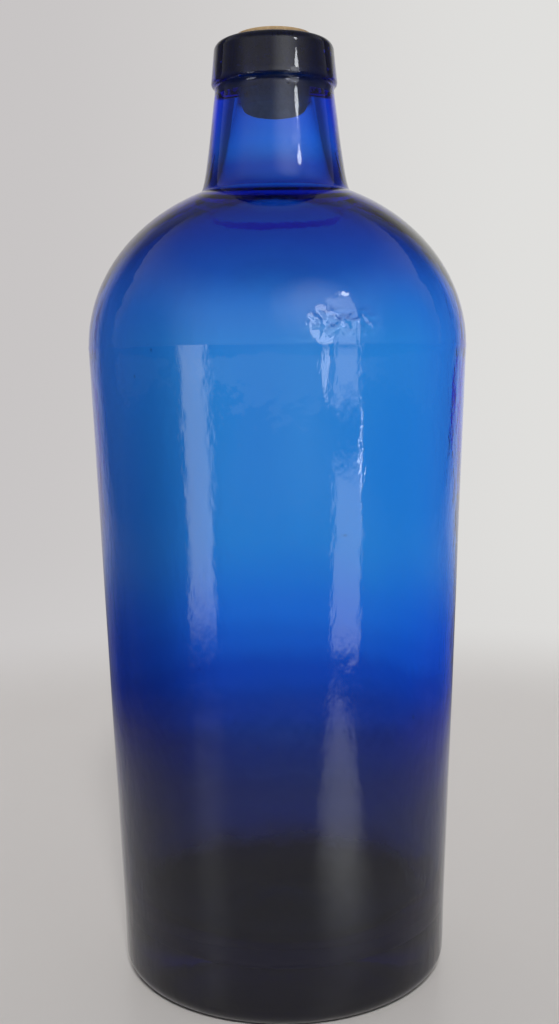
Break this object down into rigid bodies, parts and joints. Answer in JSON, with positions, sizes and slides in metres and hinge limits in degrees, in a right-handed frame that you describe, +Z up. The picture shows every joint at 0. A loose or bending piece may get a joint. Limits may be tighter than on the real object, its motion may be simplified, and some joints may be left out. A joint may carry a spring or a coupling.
{
  "type": "apothecary bottle",
  "caption": "Blown cobalt-blue glass stock bottle with a tapered body, domed shoulder, conical neck and band lip, closed by a tapered cork that lifts out.",
  "frame": {"origin": "on the bottle's axis, in the plane that the base's resting ring stands on", "axes": "+Z up along the bottle's axis, -Y towards the viewer of the picture, +X to the viewer's right"},
  "size_m": [0.128, 0.128, 0.3175],
  "materials": {
    "cobalt_glass": "glossy transparent blown glass, deep cobalt blue, with faint waves and seeds",
    "cork": "matt natural cork with darker pores"
  },
  "bodies": {
    "bottle": {"bottle_body": "cobalt_glass", "lip_ring": "cobalt_glass"},
    "cork": {"cork_stopper": "cork"}
  },
  "joints": [
    {"name": "cork_pull", "type": "slide", "parent": "bottle", "child": "cork", "axis": [0, 0, 1], "range_m": [0, 0.06]}
  ]
}
